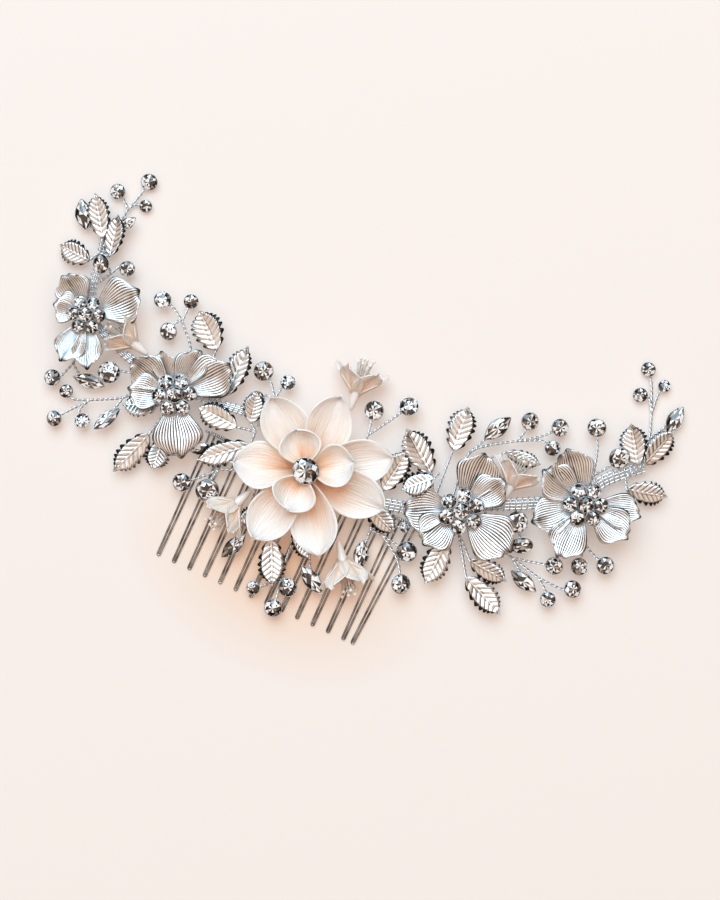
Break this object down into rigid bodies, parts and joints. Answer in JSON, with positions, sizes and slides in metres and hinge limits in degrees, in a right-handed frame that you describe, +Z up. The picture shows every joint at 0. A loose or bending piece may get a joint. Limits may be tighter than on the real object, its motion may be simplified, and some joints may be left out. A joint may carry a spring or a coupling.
{
  "type": "decorative hair comb",
  "caption": "Wire hair comb carrying a curved vine of clay and silver flowers, stamped leaves and wired crystals.",
  "frame": {"origin": "middle of the bounding box's underside, on the surface that the comb lies on", "axes": "+X along the comb's spine towards the right wing, +Y away from the tines, +Z up from the surface to the decorated side"},
  "size_m": [0.1972, 0.117, 0.0151],
  "materials": {
    "comb_wire": "bright plated wire",
    "wrapped_wire": "fine bright wire, wound and twisted",
    "silver_stamping": "bright silver plate, engraved veins and ridges, polished rims",
    "crystal": "foiled clear crystal in silver cups on twisted silver wire",
    "ivory_clay": "pearly ivory clay with fine grooves, soft sheen"
  },
  "bodies": {
    "root": {"comb_wire": "comb_wire", "spine_binding_wire": "wrapped_wire", "left_vine_stem": "wrapped_wire", "right_vine_stem": "wrapped_wire", "flower_calyx": "ivory_clay", "outer_petal_1": "ivory_clay", "outer_petal_2": "ivory_clay", "outer_petal_3": "ivory_clay", "outer_petal_4": "ivory_clay", "outer_petal_5": "ivory_clay", "outer_petal_6": "ivory_clay", "outer_petal_7": "ivory_clay", "inner_petal_1": "ivory_clay", "inner_petal_2": "ivory_clay", "inner_petal_3": "ivory_clay", "flower_crystal_cup": "silver_stamping", "flower_crystal": "crystal", "silver_flower_left_outer": "silver_stamping", "silver_flower_left_inner": "silver_stamping", "silver_flower_right_inner": "silver_stamping", "silver_flower_right_outer": "silver_stamping", "stone_cluster_left_outer": "crystal", "stone_cluster_left_inner": "crystal", "stone_cluster_right_inner": "crystal", "stone_cluster_right_outer": "crystal", "bell_blossom_left_wing": "ivory_clay", "bell_blossom_comb_left": "ivory_clay", "bell_blossom_comb_low": "ivory_clay", "bell_blossom_top": "ivory_clay", "bell_blossom_right_wing": "ivory_clay", "leaf_spray_left_tip": "silver_stamping", "leaf_left_upper": "silver_stamping", "leaf_left_inner": "silver_stamping", "leaf_spray_left_lower": "silver_stamping", "leaf_spray_comb_left": "silver_stamping", "leaf_spray_comb_low": "silver_stamping", "leaf_spray_comb_right": "silver_stamping", "leaf_spray_right_upper": "silver_stamping", "leaf_right_over_petal": "silver_stamping", "leaf_spray_right_lower": "silver_stamping", "leaf_spray_right_tip": "silver_stamping", "leaf_behind_right_blossom": "silver_stamping", "crystal_sprig_left_tip": "crystal", "crystal_sprig_left_edge": "crystal", "crystal_sprig_left_upper": "crystal", "crystal_sprig_left_lower": "crystal", "crystal_sprig_left_outer": "crystal", "large_crystal_left": "crystal", "crystal_sprig_comb_left_low": "crystal", "crystal_sprig_comb_left_top": "crystal", "crystal_sprig_comb_top": "crystal", "crystal_sprig_comb_low": "crystal", "boat_crystal_comb_low": "crystal", "crystal_sprig_comb_right_low": "crystal", "crystal_sprig_right_upper": "crystal", "crystal_sprig_right_edge": "crystal", "crystal_sprig_right_tip": "crystal", "crystal_sprig_right_lower": "crystal", "crystal_sprig_right_outer": "crystal", "large_crystal_right": "crystal"}
  },
  "joints": []
}
